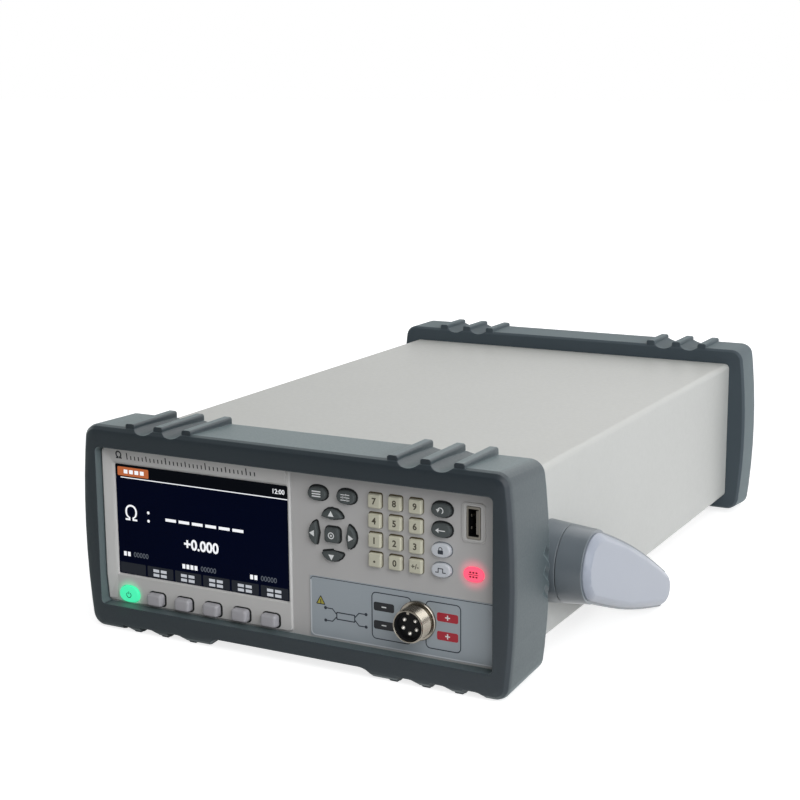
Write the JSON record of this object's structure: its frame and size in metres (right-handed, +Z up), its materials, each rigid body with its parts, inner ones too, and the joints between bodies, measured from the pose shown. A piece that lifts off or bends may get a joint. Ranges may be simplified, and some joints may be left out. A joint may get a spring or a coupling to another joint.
{
  "type": "milliohmmeter",
  "caption": "Bench milliohmmeter with a colour screen and keypad, in a sleeve case with soft end boots and a folding bail handle.",
  "frame": {"origin": "middle of the overall depth and width, on the table under the feet", "axes": "+X to the right of the front panel, +Y from the front panel to the rear panel, +Z up"},
  "size_m": [0.2664, 0.3736, 0.105],
  "materials": {
    "case_paint": "satin",
    "boot_elastomer": "matte",
    "panel_plastic": "matte",
    "bezel_plastic": "satin",
    "window_glass": "polished",
    "display_frame": "gloss",
    "terminal_film": "satin",
    "plated_steel": "bright",
    "lamp_lens": "translucent",
    "chromed_brass": "polished",
    "insulator": "matte",
    "contact_silver": "polished",
    "board_laminate": "solder mask",
    "tray_steel": "zinc plated",
    "transformer_core": "varnished",
    "rear_aluminium": "painted",
    "earth_brass": "bright",
    "screw_steel": "plated",
    "arm_plastic": "satin",
    "cover_plastic": "satin",
    "key_number": "satin",
    "key_soft": "satin",
    "key_power": "lit",
    "key_clear": "translucent",
    "key_dark": "satin"
  },
  "bodies": {
    "housing": {"case_shell": "case_paint", "front_bumper": "boot_elastomer", "rear_bumper": "boot_elastomer", "front_panel": "panel_plastic", "screen_bezel": "bezel_plastic", "screen_window": "window_glass", "lcd_module": "display_frame", "terminal_plate": "terminal_film", "usb_port": "plated_steel", "status_lamp": "lamp_lens", "test_socket_shell": "chromed_brass", "test_socket_insert": "insulator", "test_socket_pins": "contact_silver", "test_socket_nut": "chromed_brass", "key_board": "board_laminate", "chassis_tray": "tray_steel", "main_board": "board_laminate", "transformer": "transformer_core", "rear_panel": "rear_aluminium", "mains_inlet": "insulator", "fuse_drawer": "insulator", "data_sockets": "plated_steel", "earth_terminal": "earth_brass", "panel_screws": "screw_steel", "handle_bosses": "arm_plastic", "pivot_bolts": "screw_steel"},
    "handle": {"handle_arm_right": "arm_plastic", "handle_arm_left": "arm_plastic", "handle_cover_right": "cover_plastic", "handle_cover_left": "cover_plastic", "handle_grip": "arm_plastic"},
    "key_power_cap": {"key_power": "key_power"},
    "key_soft_1_cap": {"key_soft_1": "key_soft"},
    "key_soft_2_cap": {"key_soft_2": "key_soft"},
    "key_soft_3_cap": {"key_soft_3": "key_soft"},
    "key_soft_4_cap": {"key_soft_4": "key_soft"},
    "key_soft_5_cap": {"key_soft_5": "key_soft"},
    "key_view_cap": {"key_view": "key_dark"},
    "key_setup_cap": {"key_setup": "key_dark"},
    "key_up_cap": {"key_up": "key_dark"},
    "key_down_cap": {"key_down": "key_dark"},
    "key_left_cap": {"key_left": "key_dark"},
    "key_right_cap": {"key_right": "key_dark"},
    "key_centre_cap": {"key_centre": "key_dark"},
    "key_num_7_cap": {"key_num_7": "key_number"},
    "key_num_8_cap": {"key_num_8": "key_number"},
    "key_num_9_cap": {"key_num_9": "key_number"},
    "key_num_4_cap": {"key_num_4": "key_number"},
    "key_num_5_cap": {"key_num_5": "key_number"},
    "key_num_6_cap": {"key_num_6": "key_number"},
    "key_num_1_cap": {"key_num_1": "key_number"},
    "key_num_2_cap": {"key_num_2": "key_number"},
    "key_num_3_cap": {"key_num_3": "key_number"},
    "key_num_point_cap": {"key_num_point": "key_number"},
    "key_num_0_cap": {"key_num_0": "key_number"},
    "key_num_sign_cap": {"key_num_sign": "key_number"},
    "key_leave_cap": {"key_leave": "key_dark"},
    "key_back_cap": {"key_back": "key_dark"},
    "key_hold_cap": {"key_hold": "key_clear"},
    "key_start_cap": {"key_start": "key_clear"}
  },
  "joints": [
    {"name": "handle_hinge", "type": "hinge", "parent": "housing", "child": "handle", "pos_m": [0, -0.1236, 0.0483], "axis": [-1, 0, 0], "range_deg": [0, 180]},
    {"name": "key_power_press", "type": "slide", "parent": "housing", "child": "key_power_cap", "axis": [0, 1, 0], "range_m": [0, 0.0012], "stiffness_N_per_m": 400},
    {"name": "key_soft_1_press", "type": "slide", "parent": "housing", "child": "key_soft_1_cap", "axis": [0, 1, 0], "range_m": [0, 0.0012], "stiffness_N_per_m": 400},
    {"name": "key_soft_2_press", "type": "slide", "parent": "housing", "child": "key_soft_2_cap", "axis": [0, 1, 0], "range_m": [0, 0.0012], "stiffness_N_per_m": 400},
    {"name": "key_soft_3_press", "type": "slide", "parent": "housing", "child": "key_soft_3_cap", "axis": [0, 1, 0], "range_m": [0, 0.0012], "stiffness_N_per_m": 400},
    {"name": "key_soft_4_press", "type": "slide", "parent": "housing", "child": "key_soft_4_cap", "axis": [0, 1, 0], "range_m": [0, 0.0012], "stiffness_N_per_m": 400},
    {"name": "key_soft_5_press", "type": "slide", "parent": "housing", "child": "key_soft_5_cap", "axis": [0, 1, 0], "range_m": [0, 0.0012], "stiffness_N_per_m": 400},
    {"name": "key_view_press", "type": "slide", "parent": "housing", "child": "key_view_cap", "axis": [0, 1, 0], "range_m": [0, 0.0012], "stiffness_N_per_m": 400},
    {"name": "key_setup_press", "type": "slide", "parent": "housing", "child": "key_setup_cap", "axis": [0, 1, 0], "range_m": [0, 0.0012], "stiffness_N_per_m": 400},
    {"name": "key_up_press", "type": "slide", "parent": "housing", "child": "key_up_cap", "axis": [0, 1, 0], "range_m": [0, 0.0012], "stiffness_N_per_m": 400},
    {"name": "key_down_press", "type": "slide", "parent": "housing", "child": "key_down_cap", "axis": [0, 1, 0], "range_m": [0, 0.0012], "stiffness_N_per_m": 400},
    {"name": "key_left_press", "type": "slide", "parent": "housing", "child": "key_left_cap", "axis": [0, 1, 0], "range_m": [0, 0.0012], "stiffness_N_per_m": 400},
    {"name": "key_right_press", "type": "slide", "parent": "housing", "child": "key_right_cap", "axis": [0, 1, 0], "range_m": [0, 0.0012], "stiffness_N_per_m": 400},
    {"name": "key_centre_press", "type": "slide", "parent": "housing", "child": "key_centre_cap", "axis": [0, 1, 0], "range_m": [0, 0.0012], "stiffness_N_per_m": 400},
    {"name": "key_num_7_press", "type": "slide", "parent": "housing", "child": "key_num_7_cap", "axis": [0, 1, 0], "range_m": [0, 0.0012], "stiffness_N_per_m": 400},
    {"name": "key_num_8_press", "type": "slide", "parent": "housing", "child": "key_num_8_cap", "axis": [0, 1, 0], "range_m": [0, 0.0012], "stiffness_N_per_m": 400},
    {"name": "key_num_9_press", "type": "slide", "parent": "housing", "child": "key_num_9_cap", "axis": [0, 1, 0], "range_m": [0, 0.0012], "stiffness_N_per_m": 400},
    {"name": "key_num_4_press", "type": "slide", "parent": "housing", "child": "key_num_4_cap", "axis": [0, 1, 0], "range_m": [0, 0.0012], "stiffness_N_per_m": 400},
    {"name": "key_num_5_press", "type": "slide", "parent": "housing", "child": "key_num_5_cap", "axis": [0, 1, 0], "range_m": [0, 0.0012], "stiffness_N_per_m": 400},
    {"name": "key_num_6_press", "type": "slide", "parent": "housing", "child": "key_num_6_cap", "axis": [0, 1, 0], "range_m": [0, 0.0012], "stiffness_N_per_m": 400},
    {"name": "key_num_1_press", "type": "slide", "parent": "housing", "child": "key_num_1_cap", "axis": [0, 1, 0], "range_m": [0, 0.0012], "stiffness_N_per_m": 400},
    {"name": "key_num_2_press", "type": "slide", "parent": "housing", "child": "key_num_2_cap", "axis": [0, 1, 0], "range_m": [0, 0.0012], "stiffness_N_per_m": 400},
    {"name": "key_num_3_press", "type": "slide", "parent": "housing", "child": "key_num_3_cap", "axis": [0, 1, 0], "range_m": [0, 0.0012], "stiffness_N_per_m": 400},
    {"name": "key_num_point_press", "type": "slide", "parent": "housing", "child": "key_num_point_cap", "axis": [0, 1, 0], "range_m": [0, 0.0012], "stiffness_N_per_m": 400},
    {"name": "key_num_0_press", "type": "slide", "parent": "housing", "child": "key_num_0_cap", "axis": [0, 1, 0], "range_m": [0, 0.0012], "stiffness_N_per_m": 400},
    {"name": "key_num_sign_press", "type": "slide", "parent": "housing", "child": "key_num_sign_cap", "axis": [0, 1, 0], "range_m": [0, 0.0012], "stiffness_N_per_m": 400},
    {"name": "key_leave_press", "type": "slide", "parent": "housing", "child": "key_leave_cap", "axis": [0, 1, 0], "range_m": [0, 0.0012], "stiffness_N_per_m": 400},
    {"name": "key_back_press", "type": "slide", "parent": "housing", "child": "key_back_cap", "axis": [0, 1, 0], "range_m": [0, 0.0012], "stiffness_N_per_m": 400},
    {"name": "key_hold_press", "type": "slide", "parent": "housing", "child": "key_hold_cap", "axis": [0, 1, 0], "range_m": [0, 0.0012], "stiffness_N_per_m": 400},
    {"name": "key_start_press", "type": "slide", "parent": "housing", "child": "key_start_cap", "axis": [0, 1, 0], "range_m": [0, 0.0012], "stiffness_N_per_m": 400}
  ]
}
